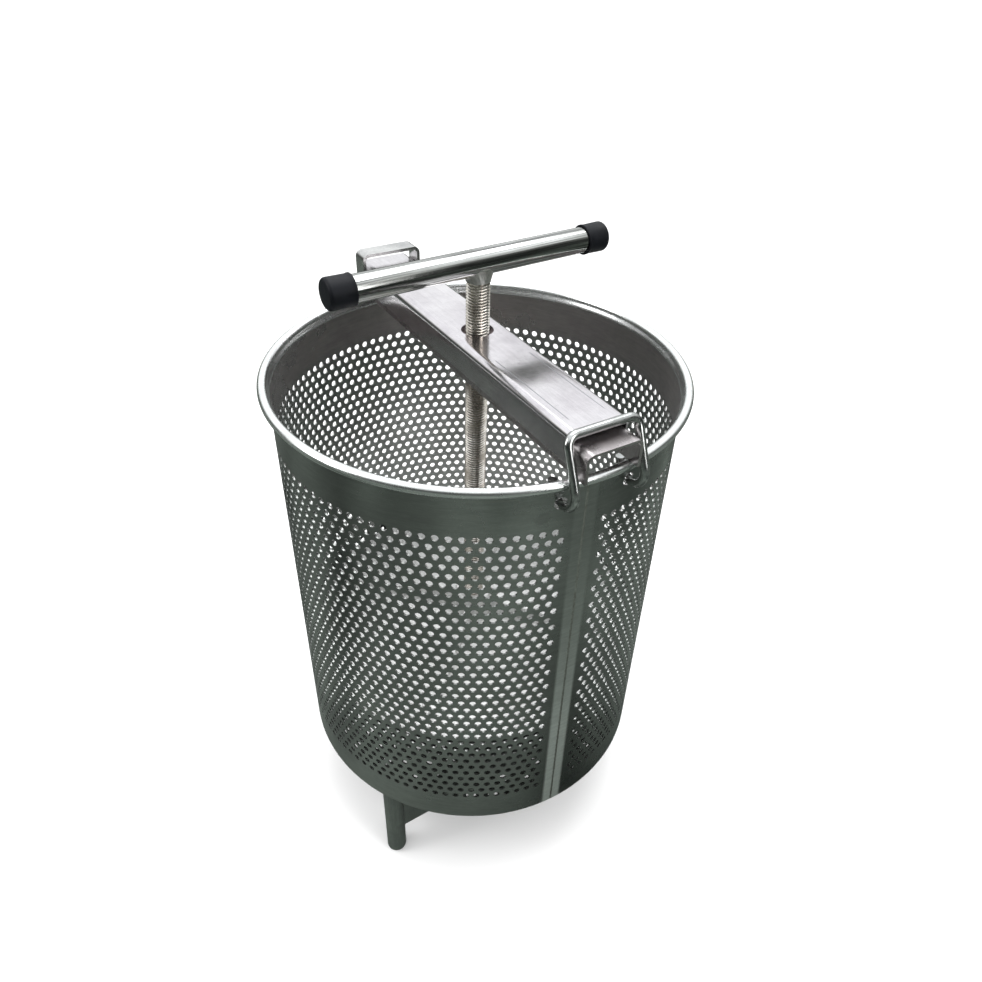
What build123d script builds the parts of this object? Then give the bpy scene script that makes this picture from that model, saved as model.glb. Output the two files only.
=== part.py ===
from build123d import *

import math
import os

# Screw press with a perforated round basket, in millimetres and degrees.
# Origin on the ground under the middle of the basket, +Z up, crossbeam along X.

# basket
basket_radius = 175.0       # outside of the wall
wall_height = 401.0         # lower edge of the wall to the middle of the rolled rim
wall_thickness = 1.5
rim_wire_radius = 2.5       # wire that stiffens the rolled rim
rim_step = 0.3              # how far the rolled rim stands off the outside of the wall
roll_gap = 1.2              # slit left where the rolled edge meets the wall
rim_neck = 6.0              # middle of the rolled rim down to where the plain wall starts
bottom_thickness = 3.0
drain_hole = 10.0           # diameter
drain_pitch = 22.0
drain_margin = 14.0         # solid edge of the bottom plate

# stand
leg_height = 105.0          # ground to the lower edge of the wall
leg_diameter = 20.0
leg_inset = 10.0            # outside of the wall to the middle of a leg
leg_count = 3
leg_start = 181.25          # direction of the first leg from the axis
foot_flat = 8.0             # flat left under a domed foot
tie_thickness = 4.0
tie_height = 50.0
tie_clearance = 33.0        # ground to the lower edge of a tie bar

# crossbeam: a channel that rests on the rim, under a cover folded over it
channel_width = 48.8
channel_height = 23.8
channel_sheet = 2.5
channel_corner = 6.0
tongue_near = 5.2           # how far the channel reaches past the rim at the stirrup
tongue_far = 8.0            # and at the keeper
cover_sheet = 1.5
cover_height = 24.6
cover_corner = 6.5
cover_gap = 0.3             # channel to the inside of the cover, each side
cover_hole_gap = 3.5        # round the screw
spacer_thickness = 6.0      # bar between the channel and the cover
spacer_inset = 0.1          # fold of the cover to the side of the spacer
spacer_setback = 20.0       # how far the spacer ends inside the cover
nut_wall = 5.0              # round the screw, at the flats
nut_height = 16.0

# screw and handle
screw_diameter = 20.0
foot_groove_depth = 2.5
foot_groove_width = 7.0
handle_height = 57.5        # top of the cover to the middle of the handle
handle_diameter = 21.3
handle_wall = 2.0
handle_length = 256.0       # over both caps
handle_turn = 2.25          # how far the handle is turned from square to the beam
handle_shift = 3.0          # middle of the handle from the screw, towards the near cap
weld_height = 4.0
weld_leg = 3.0
cap_wall = 1.8
cap_length = 22.0
cap_end = 3.0

# pressing plate
plate_height = 113.0        # lower edge of the basket wall to the top of the plate
plate_gap = 6.5             # plate edge to the inside of the wall
plate_thickness = 4.0
hub_wall = 9.0              # round the screw
hub_height = 27.0
hub_floor = 4.0
washer_thickness = 2.0
rib_count = 4
rib_thickness = 5.0
rib_height = 18.0
rib_tip_height = 6.0
rib_setback = 19.0          # end of a rib to the edge of the plate
set_screw = 6.0             # diameter

# stirrup that swings over the near end of the crossbeam
rod_diameter = 7.0
stirrup_gap = 2.6           # side of the channel to a leg
stirrup_bend = 8.0
stirrup_lean = 23.0         # legs lean inwards from upright
stirrup_headroom = 4.7      # channel to stirrup, how far the beam can lift
eye_room = 10.5             # radius inside an eye
eye_drop = 5.0              # middle of the rim down to the middle of an eye
eye_reach = 1.5             # outside of the wall out to the middle of an eye
eye_wrap = 200.0            # how far an eye goes round
eye_hole_gap = 1.8          # rod to the edge of its hole in the wall

# keeper welded on the rim, round the far end of the crossbeam
keeper_sheet = 3.0
keeper_depth = 18.0         # along the beam
keeper_gap = 0.8            # cover to the inside of the keeper, each side
keeper_headroom = 9.4       # cover to the underside of the keeper
keeper_corner = 6.5
keeper_cope = 1.5           # how far its feet reach down over the rim
cover_past_keeper = 3.0

# clearances
rest_gap = 0.3              # between pieces that rest on each other and move
running_gap = 0.05          # radial, between turning pieces
seat_gap = 0.05             # between pieces pushed together

# heights and radii that follow
wall_bottom = leg_height
rim_height = wall_bottom + wall_height
rim_radius = rim_wire_radius + wall_thickness
rim_circle = basket_radius + rim_radius + rim_step
rim_top = rim_height + rim_radius
wall_top = rim_height - rim_neck
inner_radius = basket_radius - wall_thickness
leg_circle = basket_radius - leg_inset
leg_radius = leg_diameter / 2

beam_bottom = rim_top + rest_gap
channel_top = beam_bottom + channel_height
cover_top = channel_top + spacer_thickness + cover_sheet
cover_width = channel_width + 2 * (cover_gap + cover_sheet)
beam_near = rim_circle + rim_radius + tongue_near
beam_far = rim_circle + rim_radius + tongue_far

screw_radius = screw_diameter / 2
cover_hole_radius = screw_radius + cover_hole_gap
handle_radius = handle_diameter / 2
handle_z = cover_top + handle_height
weld_bottom = handle_z - handle_radius - weld_height

plate_top = wall_bottom + plate_height
plate_radius = inner_radius - plate_gap
hub_radius = screw_radius + hub_wall
hub_top = plate_top + hub_height
screw_foot = plate_top + hub_floor + washer_thickness + seat_gap
groove_z = (screw_foot + hub_top) / 2

rod_radius = rod_diameter / 2
eye_radius = eye_room + rod_radius
eye_side = channel_width / 2 + stirrup_gap + rod_radius
eye_x = math.sqrt(basket_radius ** 2 - eye_side ** 2) + eye_reach
eye_z = rim_height - eye_drop
lean = math.radians(stirrup_lean)
bar_z = channel_top + stirrup_headroom + rod_radius
lean_x = eye_x + eye_radius * math.cos(lean)
lean_z = eye_z + eye_radius * math.sin(lean)
bar_x = lean_x - (bar_z - lean_z) * math.tan(lean)
keeper_outside = rim_circle + rim_radius
keeper_width = cover_width + 2 * (keeper_gap + keeper_sheet)
keeper_top = cover_top + keeper_headroom + keeper_sheet
cover_near = bar_x - rod_radius - rest_gap
cover_far = keeper_outside + cover_past_keeper


def upright(radius, low, high):
    # round bar about Z between two heights
    return Pos(0, 0, low) * Cylinder(radius, high - low, align=(Align.CENTER, Align.CENTER, Align.MIN))


def block(size_x, size_y, low, high):
    # rectangular bar, centred on the axis, between two heights
    return Pos(0, 0, low) * Box(size_x, size_y, high - low, align=(Align.CENTER, Align.CENTER, Align.MIN))


def beam_block(far, near, width, low, high):
    # rectangular bar along the beam from its far end at -X to its near end
    return Pos((near - far) / 2, 0, 0) * block(near + far, width, low, high)


def polar(radius, angle):
    return Pos(radius * math.cos(math.radians(angle)), radius * math.sin(math.radians(angle)), 0)


def section(x_low, x_high, z_low, z_high):
    # rectangle in the XZ plane, to be turned about Z
    centre = Pos((x_low + x_high) / 2, (z_low + z_high) / 2)
    return Plane.XZ * centre * Rectangle(x_high - x_low, z_high - z_low)


def basket_wall():
    # plain sheet up to the neck of the rolled rim, with two holes for the eyes of the stirrup
    wall = revolve(section(inner_radius, basket_radius, wall_bottom, wall_top), Axis.Z)
    hole = Rot(0, 90, 0) * Cylinder(rod_radius + eye_hole_gap, 20)
    return wall - [Pos(eye_x, y, eye_z - eye_radius) * hole for y in (-eye_side, eye_side)]


def rolled_rim():
    # top edge of the sheet, rolled outwards round the rim wire
    roll = Plane.XZ * Pos(rim_circle, rim_height) * Circle(rim_radius)
    roll -= Plane.XZ * Pos(rim_circle, rim_height) * Circle(rim_wire_radius + seat_gap)
    slit_x = rim_circle - rim_radius / 2
    roll -= section(slit_x - roll_gap / 2, slit_x + roll_gap / 2, rim_height - 2 * rim_radius, rim_height)
    sheet = section(inner_radius, basket_radius, wall_top, rim_height)
    neck_out = rim_circle - rim_wire_radius - wall_thickness / 2
    neck = section(inner_radius, neck_out, rim_height - wall_thickness / 2, rim_height + wall_thickness / 2)
    return revolve(sheet + neck + roll, Axis.Z)


def rim_wire():
    return revolve(Plane.XZ * Pos(rim_circle, rim_height) * Circle(rim_wire_radius), Axis.Z)


def bottom_plate():
    # drain holes stand on a triangular grid that leaves the edge solid
    plate = upright(inner_radius, wall_bottom, wall_bottom + bottom_thickness)
    row_pitch = drain_pitch * math.sqrt(3) / 2
    reach = inner_radius - drain_margin - drain_hole / 2
    rows = int(reach / row_pitch)
    drill = upright(drain_hole / 2, wall_bottom - 1, wall_bottom + bottom_thickness + 1)
    holes = []
    for row in range(-rows, rows + 1):
        y = row * row_pitch
        shift = drain_pitch / 2 * (row % 2)
        columns = int(reach / drain_pitch) + 1
        for column in range(-columns, columns + 1):
            x = column * drain_pitch + shift
            if math.hypot(x, y) <= reach:
                holes.append(Pos(x, y, 0) * drill)
    return plate - holes


def leg_angle(index):
    return leg_start + 360 / leg_count * index


def leg(index):
    bar = upright(leg_radius, 0, wall_bottom)
    foot = bar.edges().sort_by(Axis.Z)[0]
    return polar(leg_circle, leg_angle(index)) * fillet(foot, leg_radius - foot_flat / 2)


def tie_bar(index):
    # flat bar on edge between two neighbouring legs, its ends shaped to them
    half = math.pi / leg_count
    span = 2 * leg_circle * math.sin(half)
    bar = block(tie_thickness, span, tie_clearance, tie_clearance + tie_height)
    middle = leg_angle(index) + 180 / leg_count
    bar = polar(leg_circle * math.cos(half), middle) * Rot(0, 0, middle) * bar
    for end in (index, index + 1):
        bar -= polar(leg_circle, leg_angle(end)) * upright(leg_radius, -1, wall_bottom)
    return bar


def folded_channel(far, near, width, low, high, sheet, corner):
    # sheet folded into an upside-down U along the beam, with rounded folds
    outer = beam_block(far, near, width, low, high)
    outer = fillet(outer.edges().filter_by(Axis.X).group_by(Axis.Z)[-1], corner)
    inner = beam_block(far + 1, near + 1, width - 2 * sheet, low - 1, high - sheet)
    inner = fillet(inner.edges().filter_by(Axis.X).group_by(Axis.Z)[-1], corner - sheet)
    return outer - inner


def screw_passage(radius):
    return upright(radius, beam_bottom - 1, cover_top + 1)


def beam_channel():
    low, high = beam_bottom, channel_top
    body = folded_channel(beam_far, beam_near, channel_width, low, high, channel_sheet, channel_corner)
    return body - screw_passage(screw_radius + 1)


def beam_cover():
    low, high = cover_top - cover_height, cover_top
    body = folded_channel(cover_far, cover_near, cover_width, low, high, cover_sheet, cover_corner)
    return body - screw_passage(cover_hole_radius)


def beam_spacer():
    far, near = cover_far - spacer_setback, cover_near - spacer_setback
    width = cover_width - 2 * (cover_corner + spacer_inset)
    bar = beam_block(far, near, width, channel_top, channel_top + spacer_thickness)
    return bar - screw_passage(cover_hole_radius)


def screw_nut():
    # welded under the top of the channel
    top = channel_top - channel_sheet
    flat_shape = RegularPolygon(screw_radius + nut_wall, 6, major_radius=False)
    nut = Pos(0, 0, top - nut_height) * extrude(flat_shape, nut_height)
    return nut - screw_passage(screw_radius + running_gap)


def on_handle():
    # middle of the handle, its own axis along Y
    return Pos(0, 0, handle_z) * Rot(0, 0, handle_turn) * Pos(0, -handle_shift, 0)


def handle_bar(radius, length):
    return on_handle() * Rot(90, 0, 0) * Cylinder(radius, length)


def screw():
    # the thread is a plain bar of its outside diameter; the foot has a groove for the set screws
    bar = upright(screw_radius, screw_foot, handle_z)
    bar = chamfer(bar.edges().sort_by(Axis.Z)[0], 1)
    groove = upright(screw_radius + 1, groove_z - foot_groove_width / 2, groove_z + foot_groove_width / 2)
    groove -= upright(screw_radius - foot_groove_depth, screw_foot, hub_top)
    return bar - groove - handle_bar(handle_radius, 4 * screw_diameter)


def handle_tube():
    length = handle_length - 2 * cap_end
    return handle_bar(handle_radius, length) - handle_bar(handle_radius - handle_wall, length + 2)


def handle_weld():
    # fillet between the top of the screw and the underside of the handle
    height = weld_height + handle_radius / 2
    flare = Pos(0, 0, weld_bottom + height / 2) * Cone(screw_radius + 0.5, screw_radius + weld_leg, height)
    slab = block(screw_diameter + 3, 4 * screw_diameter, weld_bottom, handle_z)
    bead = flare & (Rot(0, 0, handle_turn) * slab)
    return bead - handle_bar(handle_radius, 4 * screw_diameter) - upright(screw_radius, screw_foot, handle_z)


def handle_cap(side):
    cap = Cylinder(handle_radius + cap_wall, cap_length, align=(Align.CENTER, Align.CENTER, Align.MAX))
    rounding = min(2.5, cap_end * 0.9)
    cap = fillet(cap.edges().sort_by(Axis.Z)[-1], rounding)
    socket = Cylinder(handle_radius + seat_gap, cap_length, align=(Align.CENTER, Align.CENTER, Align.MAX))
    cap -= Pos(0, 0, -cap_end) * socket
    return on_handle() * Rot(-90 * side, 0, 0) * Pos(0, 0, handle_length / 2) * cap


def press_disc():
    disc = upright(plate_radius, plate_top - plate_thickness, plate_top)
    return fillet(disc.edges(), plate_thickness / 4)


def set_screw_at(side, radius, tip):
    # radial, from the outside of the hub in to the groove
    length = hub_radius - tip
    return Pos(side * (tip + length / 2), 0, groove_z) * Rot(0, 90, 0) * Cylinder(radius, length)


def press_hub():
    # cup that holds the foot of the screw
    hub = upright(hub_radius, plate_top, hub_top)
    hub = chamfer(hub.edges().sort_by(Axis.Z)[-1], 1.5)
    hub -= upright(screw_radius + running_gap, plate_top + hub_floor, hub_top + 1)
    for side in (-1, 1):
        hub -= set_screw_at(side, set_screw / 2 + seat_gap, screw_radius - 1)
    return hub


def set_screws():
    tip = screw_radius - foot_groove_depth + 0.5
    return Compound([set_screw_at(side, set_screw / 2, tip) for side in (-1, 1)])


def thrust_washer():
    floor = plate_top + hub_floor
    return upright(screw_radius - 0.5, floor, floor + washer_thickness)


def press_rib(index):
    # upright rib that tapers from the hub to the edge of the plate
    rib_reach = plate_radius - rib_setback
    outline = Polyline(
        (0, 0),
        (rib_reach, 0),
        (rib_reach, rib_tip_height),
        (hub_radius, rib_height),
        (0, rib_height),
        close=True,
    )
    rib = extrude(Plane.XZ * make_face(outline), rib_thickness / 2, both=True)
    angle = 180 / rib_count + 360 / rib_count * index
    return Rot(0, 0, angle) * Pos(0, 0, plate_top) * rib - upright(hub_radius, plate_top, hub_top)


def eye_point(side, angle):
    # point on the centre line of an eye, at an angle above the outward direction
    turn = math.radians(angle)
    return (eye_x + eye_radius * math.cos(turn), side * eye_side, eye_z + eye_radius * math.sin(turn))


def stirrup():
    # one bent rod: an eye through the wall, a leg, the bar over the tongue, a leg and an eye
    far = stirrup_lean - eye_wrap
    half = stirrup_lean - eye_wrap / 2
    start, end = eye_point(-1, stirrup_lean), eye_point(1, stirrup_lean)
    first = ThreePointArc(eye_point(-1, far), eye_point(-1, half), start)
    corners = (start, (bar_x, -eye_side, bar_z), (bar_x, eye_side, bar_z), end)
    loop = FilletPolyline(*corners, radius=stirrup_bend)
    last = ThreePointArc(end, eye_point(1, half), eye_point(1, far))
    path = Wire(first.edges() + loop.edges() + last.edges())
    profile = Plane(origin=path @ 0, z_dir=path % 0) * Circle(rod_radius)
    return sweep(profile, path=path)


def beam_keeper():
    # flat bar bent over the far end of the beam, its feet coped to the rolled rim and welded there
    low = rim_top - keeper_cope
    far, near = keeper_outside, keeper_depth - keeper_outside
    outer = beam_block(far, near, keeper_width, low, keeper_top)
    outer = fillet(outer.edges().filter_by(Axis.X).group_by(Axis.Z)[-1], keeper_corner)
    inner_width = keeper_width - 2 * keeper_sheet
    inner = beam_block(far + 1, near + 1, inner_width, low - 1, keeper_top - keeper_sheet)
    inner = fillet(inner.edges().filter_by(Axis.X).group_by(Axis.Z)[-1], keeper_corner - keeper_sheet)
    rim = revolve(Plane.XZ * Pos(rim_circle, rim_height) * Circle(rim_radius), Axis.Z)
    return outer - inner - rim


def pieces():
    found = {
        "basket_wall": basket_wall(),
        "rolled_rim": rolled_rim(),
        "rim_wire": rim_wire(),
        "bottom_plate": bottom_plate(),
        "beam_channel": beam_channel(),
        "beam_cover": beam_cover(),
        "beam_spacer": beam_spacer(),
        "screw_nut": screw_nut(),
        "screw": screw(),
        "handle_tube": handle_tube(),
        "handle_weld": handle_weld(),
        "handle_cap_near": handle_cap(-1),
        "handle_cap_far": handle_cap(1),
        "press_disc": press_disc(),
        "press_hub": press_hub(),
        "thrust_washer": thrust_washer(),
        "hub_set_screws": set_screws(),
        "stirrup": stirrup(),
        "beam_keeper": beam_keeper(),
    }
    for index in range(leg_count):
        found[f"leg_{index + 1}"] = leg(index)
        found[f"tie_bar_{index + 1}"] = tie_bar(index)
    for index in range(rib_count):
        found[f"press_rib_{index + 1}"] = press_rib(index)
    return found


os.makedirs("parts", exist_ok=True)
for node, shape in pieces().items():
    export_step(shape, f"parts/{node}.step")
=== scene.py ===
import math
import bpy
import numpy as np
from mathutils import Matrix, Vector


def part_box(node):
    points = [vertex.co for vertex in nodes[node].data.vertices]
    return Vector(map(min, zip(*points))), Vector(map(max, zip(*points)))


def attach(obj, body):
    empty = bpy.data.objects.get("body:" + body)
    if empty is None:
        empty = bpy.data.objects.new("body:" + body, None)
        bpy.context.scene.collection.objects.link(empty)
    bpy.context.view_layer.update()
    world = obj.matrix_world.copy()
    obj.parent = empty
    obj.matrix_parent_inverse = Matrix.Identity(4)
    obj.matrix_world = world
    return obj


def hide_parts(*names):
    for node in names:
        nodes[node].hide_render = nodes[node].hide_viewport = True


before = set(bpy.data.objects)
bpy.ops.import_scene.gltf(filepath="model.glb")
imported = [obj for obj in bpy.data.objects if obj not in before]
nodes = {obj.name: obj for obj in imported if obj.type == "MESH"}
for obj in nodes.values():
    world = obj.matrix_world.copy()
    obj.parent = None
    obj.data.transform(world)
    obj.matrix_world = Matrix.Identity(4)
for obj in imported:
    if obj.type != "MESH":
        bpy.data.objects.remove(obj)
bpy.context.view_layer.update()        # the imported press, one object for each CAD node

scene = bpy.context.scene


# ---------- mesh helpers

def buildMesh(name, points, faces, sharpAngle=35.0):
    # points as an n x 3 array, faces as a list of index arrays with 3 or 4 columns
    # edges sharper than the angle stay sharp
    mesh = bpy.data.meshes.new(name)
    corners = np.concatenate([f.ravel() for f in faces]).astype(np.int32)
    sizes = np.concatenate([np.full(len(f), f.shape[1]) for f in faces])
    starts = np.concatenate([[0], np.cumsum(sizes)[:-1]]).astype(np.int32)
    mesh.vertices.add(len(points))
    mesh.vertices.foreach_set("co", np.asarray(points, dtype=np.float32).ravel())
    mesh.loops.add(len(corners))
    mesh.loops.foreach_set("vertex_index", corners)
    mesh.polygons.add(len(sizes))
    mesh.polygons.foreach_set("loop_start", starts)
    mesh.update(calc_edges=True)
    mesh.polygons.foreach_set("use_smooth", np.ones(len(sizes), dtype=bool))
    mesh.set_sharp_from_angle(angle=math.radians(sharpAngle))
    piece = bpy.data.objects.new(name, mesh)
    scene.collection.objects.link(piece)
    return piece


def gridQuads(rows, columns, wrapRows=False, wrapColumns=False):
    # quads between neighbours on a rows x columns grid whose point (i, j) has index i * columns + j
    i = np.arange(rows if wrapRows else rows - 1)
    j = np.arange(columns if wrapColumns else columns - 1)
    i, j = (a.ravel() for a in np.meshgrid(i, j, indexing="ij"))
    below, right = (i + 1) % rows, (j + 1) % columns
    here, under = i * columns, below * columns
    return np.stack([here + j, here + right, under + right, under + j], axis=1)


def weld(points, quads):
    # points closer than a micrometre become one, and quads that lose their area are dropped
    key = np.round(points * 1e6).astype(np.int64)
    _, first, back = np.unique(key, axis=0, return_index=True, return_inverse=True)
    quads = back.ravel()[quads]
    whole = (quads[:, 0] != quads[:, 2]) & (quads[:, 1] != quads[:, 3])
    return first, quads[whole]


def thicken(outer, inner, quads):
    # closed shell: the outer sheet, the inner sheet turned over,
    # and a wall along every edge that only one quad has
    count = len(outer)
    edges = np.concatenate([quads[:, [k, (k + 1) % 4]] for k in range(4)])
    edges = edges[edges[:, 0] != edges[:, 1]]
    code = edges[:, 0].astype(np.int64) * count + edges[:, 1]
    back = edges[:, 1].astype(np.int64) * count + edges[:, 0]
    border = edges[~np.isin(code, back)]
    first, second = border[:, 0], border[:, 1]
    walls = np.stack([second, first, first + count, second + count], axis=1)
    return np.concatenate([outer, inner]), [quads, quads[:, ::-1] + count, walls]


def ringPiece(name, profile, turns):
    # a closed profile of (radius, height) points carried once round Z through the given angles
    radius = profile[:, 0][:, None]
    height = np.repeat(profile[:, 1][:, None], len(turns), axis=1)
    points = np.stack([radius * np.cos(turns), radius * np.sin(turns), height], axis=2)
    return buildMesh(name, points.reshape(-1, 3), [gridQuads(*height.shape, True, True)])


def spinPiece(name, profile, place, segments=64, sharpAngle=35.0):
    # an open profile of (radius, height) points turned round its own axis,
    # closed by a centre point at each end, then placed
    turns = np.linspace(0, 2 * np.pi, segments, endpoint=False)
    radius = profile[:, 0][:, None]
    height = np.repeat(profile[:, 1][:, None], segments, axis=1)
    points = np.stack([radius * np.cos(turns), radius * np.sin(turns), height], axis=2).reshape(-1, 3)
    ends = np.array([[0, 0, profile[0, 1]], [0, 0, profile[-1, 1]]])
    side = np.arange(segments)
    after = (side + 1) % segments
    last = (len(profile) - 1) * segments
    low = np.stack([np.full(segments, len(points)), after, side], axis=1)
    high = np.stack([np.full(segments, len(points) + 1), last + side, last + after], axis=1)
    points = np.concatenate([points, ends]) @ place[:3, :3].T + place[:3, 3]
    return buildMesh(name, points, [gridQuads(len(profile), segments, False, True), low, high], sharpAngle)


def arc(centreX, centreY, radius, start, end, count):
    # points on a circle between two angles in degrees
    turn = np.radians(np.linspace(start, end, count))
    return np.stack([centreX + radius * np.cos(turn), centreY + radius * np.sin(turn)], axis=1)


def patchRing(across, along, centre, radius):
    # quads between the edge of a block of grid cells and a round hole inside it,
    # one hole point for each edge point
    bottom = [(u, along[0]) for u in across[:-1]]
    right = [(across[-1], v) for v in along[:-1]]
    top = [(u, along[-1]) for u in across[:0:-1]]
    left = [(across[0], v) for v in along[:0:-1]]
    edge = np.array(bottom + right + top + left)
    turn = np.arctan2(edge[:, 1] - centre[1], edge[:, 0] - centre[0])
    hole = np.stack([centre[0] + radius * np.cos(turn), centre[1] + radius * np.sin(turn)], axis=1)
    return np.concatenate([edge, hole]), gridQuads(2, len(edge), False, True)


def sheetWithHoles(across, along, holes, span):
    # flat grid of cells in which each (x, y, radius) hole takes the place of the cells within its span
    grid = np.stack(np.meshgrid(along, across, indexing="ij")[::-1], axis=2).reshape(-1, 2)
    quads = gridQuads(len(along), len(across))
    middle = grid[quads].mean(axis=1)
    points, kept = [grid], np.ones(len(quads), dtype=bool)
    parts, count = [], len(grid)
    for x, y, radius in holes:
        i0, i1 = np.searchsorted(across, [x - span, x + span]) - [1, 0]
        j0, j1 = np.searchsorted(along, [y - span, y + span]) - [1, 0]
        inside = (middle[:, 0] > across[i0]) & (middle[:, 0] < across[i1])
        inside &= (middle[:, 1] > along[j0]) & (middle[:, 1] < along[j1])
        kept &= ~inside
        ring, around = patchRing(across[i0:i1 + 1], along[j0:j1 + 1], (x, y), radius)
        points.append(ring)
        parts.append(around + count)
        count += len(ring)
    return np.concatenate(points), np.concatenate([quads[kept]] + parts)


# ---------- basket wall: sheet with round holes on a triangular lattice, laid round a cylinder

wall = {
    "thickness": 0.0015, "rows": 36, "holesInRow": 108, "rowPitch": 0.009144, "holeStep": 3.236,
    "holeRadius": 0.003, "topRow": 0.46025, "seamAngle": -3.0, "stripColumns": 9, "splitRow": 18,
    "eyeHoleRadius": 0.0053, "eyeHoleSide": 0.0305, "eyeHoleSpan": 0.0078, "rodRadius": 0.0035,
    "eyeHoleMargin": 0.0005, "bandLevels": [0.4705, 0.4750], "bottomStep": 0.004, "holePoints": 12,
    "faceDepth": 0.0008,
}
wall["inside"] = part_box("bottom_plate")[1][0]
wall["outside"] = wall["inside"] + wall["thickness"]
wall["bottom"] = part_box("basket_wall")[0][2]
wall["bandTop"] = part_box("basket_wall")[1][2]
wall["eyeHoleZ"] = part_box("stirrup")[0][2] + wall["rodRadius"]


def onWall(flat, radius):
    # an (arc length, height) point laid on a cylinder
    turn = flat[:, 0] / wall["outside"]
    return np.stack([radius * np.cos(turn), radius * np.sin(turn), flat[:, 1]], axis=1)


def latticeRows():
    # centres of the holes, row by row; every second row stands half a step along
    step = math.radians(wall["holeStep"]) * wall["outside"]
    row = np.arange(wall["rows"])
    start = math.radians(wall["seamAngle"]) * wall["outside"]
    gap = 2 * np.pi * wall["outside"] - step * (wall["holesInRow"] - 1)
    first = start + gap / 2 + np.where(row % 2, 0.25, -0.25) * step
    x = first[:, None] + step * np.arange(wall["holesInRow"])
    return x, wall["topRow"] - wall["rowPitch"] * row, step


def latticeCells(x, z, step):
    # each hole sits in a hexagon; the points round the hole meet as many round the hexagon
    pitch, count = wall["rowPitch"], wall["holePoints"]
    lift = step * step / (8 * pitch)
    high, low = pitch / 2 + lift, pitch / 2 - lift
    quarter = np.array([[step / 2, 0], [step / 2, low], [step / 4, pitch / 2], [0, high]])
    mirrored = quarter[2:0:-1] * [-1, 1]
    half = np.concatenate([quarter, mirrored])
    hexagon = np.concatenate([half, -half])
    turn = np.radians(np.arange(count) * 360.0 / count)
    hole = wall["holeRadius"] * np.stack([np.cos(turn), np.sin(turn)], axis=1)
    centres = np.stack([x, np.repeat(z[:, None], x.shape[1], axis=1)], axis=2).reshape(-1, 1, 2)
    cell = np.concatenate([hole, hexagon])
    points = (centres + cell).reshape(-1, 2)
    ring = gridQuads(2, count, False, True)[:, ::-1]
    quads = (ring[None] + 2 * count * np.arange(len(centres))[:, None, None]).reshape(-1, 4)
    return points, quads, high, low


def seamStrip(x, z, step, low, top, bottom):
    # plain strip between the last and first holes of each row, its sides following the hexagons
    whole = 2 * np.pi * wall["outside"]
    levels, left, right = [], [], []
    for i in range(top, bottom):
        for lift in (low, 0, -low):
            levels.append(z[i] + lift)
            left.append(x[i, -1] + step / 2)
            right.append(x[i, 0] - step / 2 + whole)
    if top > 0:    # the zigzag that joins it to the row above
        levels.insert(0, z[top - 1] - low)
        left.insert(0, x[top - 1, -1] + step / 2)
        right.insert(0, x[top - 1, 0] - step / 2 + whole)
    share = np.linspace(0, 1, wall["stripColumns"])
    flatX = np.array(left)[:, None] * (1 - share) + np.array(right)[:, None] * share
    flatZ = np.repeat(np.array(levels)[:, None], len(share), axis=1)
    return np.stack([flatX, flatZ], axis=2).reshape(-1, 2), gridQuads(*flatX.shape)[:, ::-1]


def bandColumns(x, step, row):
    # where the plain bands have their columns: four for each hole, then the strip's
    quarters = x[row][:, None] + step * np.array([-0.5, -0.25, 0, 0.25])
    whole = 2 * np.pi * wall["outside"]
    strip = np.linspace(x[row, -1] + step / 2, x[row, 0] - step / 2 + whole, wall["stripColumns"])
    return np.concatenate([quarters.ravel(), strip])


def bandEdge(z, high, low, side):
    # height of the hexagons' outer points above or below a row, flat across the strip
    wave = np.tile([low, (high + low) / 2, high, (high + low) / 2], wall["holesInRow"])
    flat = np.full(wall["stripColumns"], low)
    return z + side * np.concatenate([wave, flat])


def band(columns, edge, levels, holes=()):
    # rows of cells from a zigzag edge to the last level, with larger round holes cut in them
    flat, quads = sheetWithHoles(columns, levels, holes, wall["eyeHoleSpan"])
    zigzag = np.stack([columns, edge], axis=1)
    first = np.stack([columns, np.full(len(columns), levels[0])], axis=1)
    strip = gridQuads(2, len(columns))
    count = len(flat)
    if edge[0] > levels[0]:    # a band below the holes counts its rows downwards
        strip = strip[:, ::-1]
        quads = quads[:, ::-1]
    return np.concatenate([flat, zigzag, first]), np.concatenate([quads, strip + count])


def wallPiece(name, parts):
    flat = np.concatenate([p for p, _ in parts])
    offsets = np.cumsum([0] + [len(p) for p, _ in parts[:-1]])
    quads = np.concatenate([q + o for (_, q), o in zip(parts, offsets)])
    outer = onWall(flat, wall["outside"])
    first, quads = weld(outer, quads)
    outer, inner = outer[first], onWall(flat[first], wall["inside"])
    points, faces = thicken(outer, inner, quads)
    return buildMesh(name, points, faces)


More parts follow.
